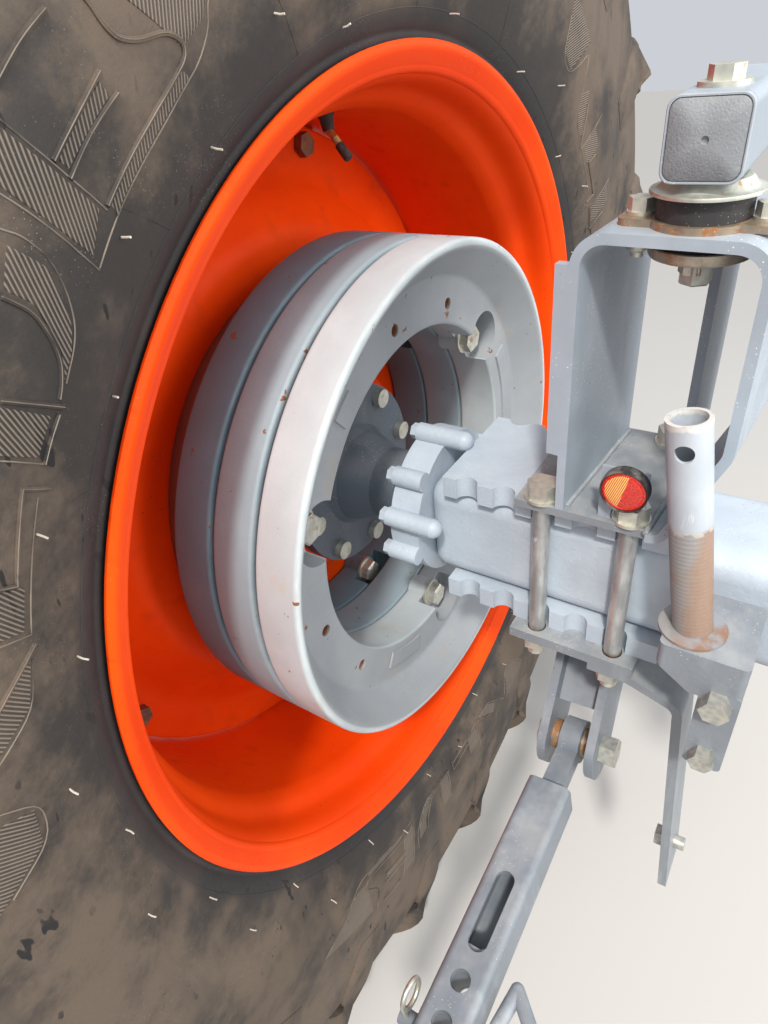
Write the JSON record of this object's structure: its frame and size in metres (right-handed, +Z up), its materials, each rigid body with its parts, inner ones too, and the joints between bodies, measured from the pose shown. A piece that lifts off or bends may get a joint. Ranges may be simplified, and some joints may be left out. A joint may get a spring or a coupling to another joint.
{
  "type": "tractor rear wheel on its axle end",
  "caption": "Tractor rear wheel with ring weights on its axle end, with the axle housing, clamped cab mount, hitch casting and a swinging stabiliser.",
  "frame": {"origin": "centre of the axle housing's mounting flange, on the axle line", "axes": "+X forward, +Y outboard along the axle, +Z up"},
  "size_m": [1.645, 0.9709, 1.645],
  "materials": {
    "tyre_rubber": "dusty matt black",
    "rim_paint": "gloss orange paint",
    "weight_pale": "pale grey paint, dusty",
    "weight_grey": "mid grey paint",
    "weight_dark": "dark grey paint",
    "hub_paint": "dark slate paint",
    "housing_paint": "blue-grey paint over a casting skin",
    "bracket_paint": "blue-grey paint",
    "zinc": "yellowish zinc plate, rust at the edges",
    "rusty_steel": "zinc plate worn to rust",
    "mount_rubber": "matt black rubber",
    "cap_grey": "grained grey plastic",
    "reflector_lens": "red and amber ribbed lens",
    "valve_brass": "brass stem with a black cap",
    "post_steel": "grey paint with a bare rusty band"
  },
  "bodies": {
    "root": {"axle_housing": "housing_paint", "bearing_cover": "housing_paint", "upper_clamp_plate": "bracket_paint", "lower_clamp_plate": "bracket_paint", "clamp_bolts": "zinc", "cab_bracket": "bracket_paint", "cab_bracket_rib": "bracket_paint", "cab_bracket_web": "bracket_paint", "mount_base_plate": "rusty_steel", "mount_rubber": "mount_rubber", "mount_upper_cup": "zinc", "mount_lower_cup": "zinc", "mount_centre_bolt": "zinc", "mount_plate_bolts": "zinc", "cab_foot": "bracket_paint", "cab_foot_cap": "cap_grey", "reflector_bracket": "bracket_paint", "reflector": "reflector_lens", "hitch_casting": "housing_paint", "post_tube": "post_steel", "hitch_bolts": "zinc", "strap": "bracket_paint", "strap_bolt": "zinc", "clevis": "bracket_paint", "clevis_pin": "zinc", "pin_spacers": "rusty_steel"},
    "wheel": {"tyre": "tyre_rubber", "rim": "rim_paint", "wheel_disc": "rim_paint", "rim_lugs": "rim_paint", "lug_bolts": "rusty_steel", "weight_outer": "weight_dark", "weight_middle": "weight_grey", "weight_inner": "weight_pale", "weight_bolts": "zinc", "axle_shaft": "hub_paint", "hub_studs": "zinc", "valve": "valve_brass"},
    "stabiliser": {"stabiliser_eye": "bracket_paint", "stabiliser_tube": "bracket_paint", "stabiliser_inner": "bracket_paint", "locking_pin": "bracket_paint", "hairpin": "zinc"}
  },
  "joints": [
    {"name": "wheel_spin", "type": "hinge", "parent": "root", "child": "wheel", "pos_m": [0, 0.526, 0], "axis": [0, 1, 0], "continuous": true},
    {"name": "stabiliser_swing", "type": "hinge", "parent": "root", "child": "stabiliser", "pos_m": [-0.06, 0.312, -0.274], "axis": [0, 0.9945, -0.1045], "range_deg": [-85, 35]}
  ]
}
